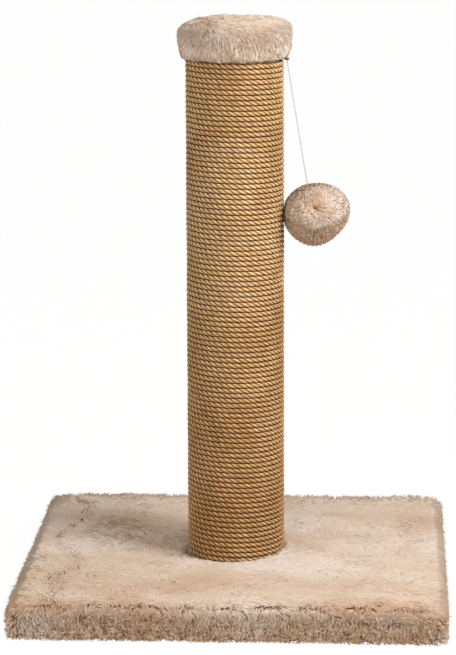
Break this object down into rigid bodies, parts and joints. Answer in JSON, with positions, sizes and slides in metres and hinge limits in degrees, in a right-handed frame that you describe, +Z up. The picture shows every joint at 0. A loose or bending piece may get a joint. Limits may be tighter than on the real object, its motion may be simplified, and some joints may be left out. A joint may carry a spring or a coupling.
{
  "type": "cat scratching post",
  "caption": "Rope-wound scratching post on a plush square base, with a plush cap and a plush ball on a string.",
  "frame": {"origin": "centre of the base's underside", "axes": "+Z up along the post, +X towards the side where the ball hangs, -Y towards the front"},
  "size_m": [0.4, 0.4, 0.5463],
  "materials": {
    "plush": "long pile, brushed",
    "jute_rope": "twisted natural fibre",
    "lining_felt": "non-woven felt",
    "chipboard": "raw",
    "cardboard": "raw spiral-wound board",
    "wood_plug": "turned, raw",
    "zinc_steel": "zinc plated",
    "cotton_string": "fine braided",
    "knot_thread": "knotted",
    "stuffing": "fibre fill"
  },
  "bodies": {
    "root": {"underside_lining": "lining_felt", "base_board": "chipboard", "base_plush": "plush", "base_staple_1": "zinc_steel", "base_staple_2": "zinc_steel", "base_staple_3": "zinc_steel", "base_staple_4": "zinc_steel", "base_staple_5": "zinc_steel", "base_staple_6": "zinc_steel", "base_staple_7": "zinc_steel", "base_staple_8": "zinc_steel", "base_staple_9": "zinc_steel", "base_staple_10": "zinc_steel", "base_staple_11": "zinc_steel", "base_staple_12": "zinc_steel", "base_staple_13": "zinc_steel", "base_staple_14": "zinc_steel", "base_staple_15": "zinc_steel", "base_staple_16": "zinc_steel", "base_bolt": "zinc_steel", "bolt_washer": "zinc_steel", "tee_nut": "zinc_steel", "post_tube": "cardboard", "bottom_plug": "wood_plug", "top_plug": "wood_plug", "plug_staple_bottom_1": "zinc_steel", "plug_staple_bottom_2": "zinc_steel", "plug_staple_bottom_3": "zinc_steel", "plug_staple_top_1": "zinc_steel", "plug_staple_top_2": "zinc_steel", "plug_staple_top_3": "zinc_steel", "rope_winding": "jute_rope", "cap_plush": "plush", "cap_staple_1": "zinc_steel", "cap_staple_2": "zinc_steel", "cap_staple_3": "zinc_steel", "cap_staple_4": "zinc_steel", "cap_staple_5": "zinc_steel", "cap_staple_6": "zinc_steel"},
    "string_knot": {"string_knot": "knot_thread"},
    "toy": {"toy_string": "cotton_string", "ball_plush": "plush", "ball_stuffing": "stuffing", "gather_thread": "cotton_string"}
  },
  "joints": [
    {"name": "ball_swing_side", "type": "hinge", "parent": "root", "child": "string_knot", "pos_m": [0.04918, 0, 0.50933], "axis": [1, 0, 0], "range_deg": [-80, 80]},
    {"name": "ball_swing_out", "type": "hinge", "parent": "string_knot", "child": "toy", "pos_m": [0.04918, 0, 0.50933], "axis": [0, -1, 0], "range_deg": [0, 80]}
  ]
}
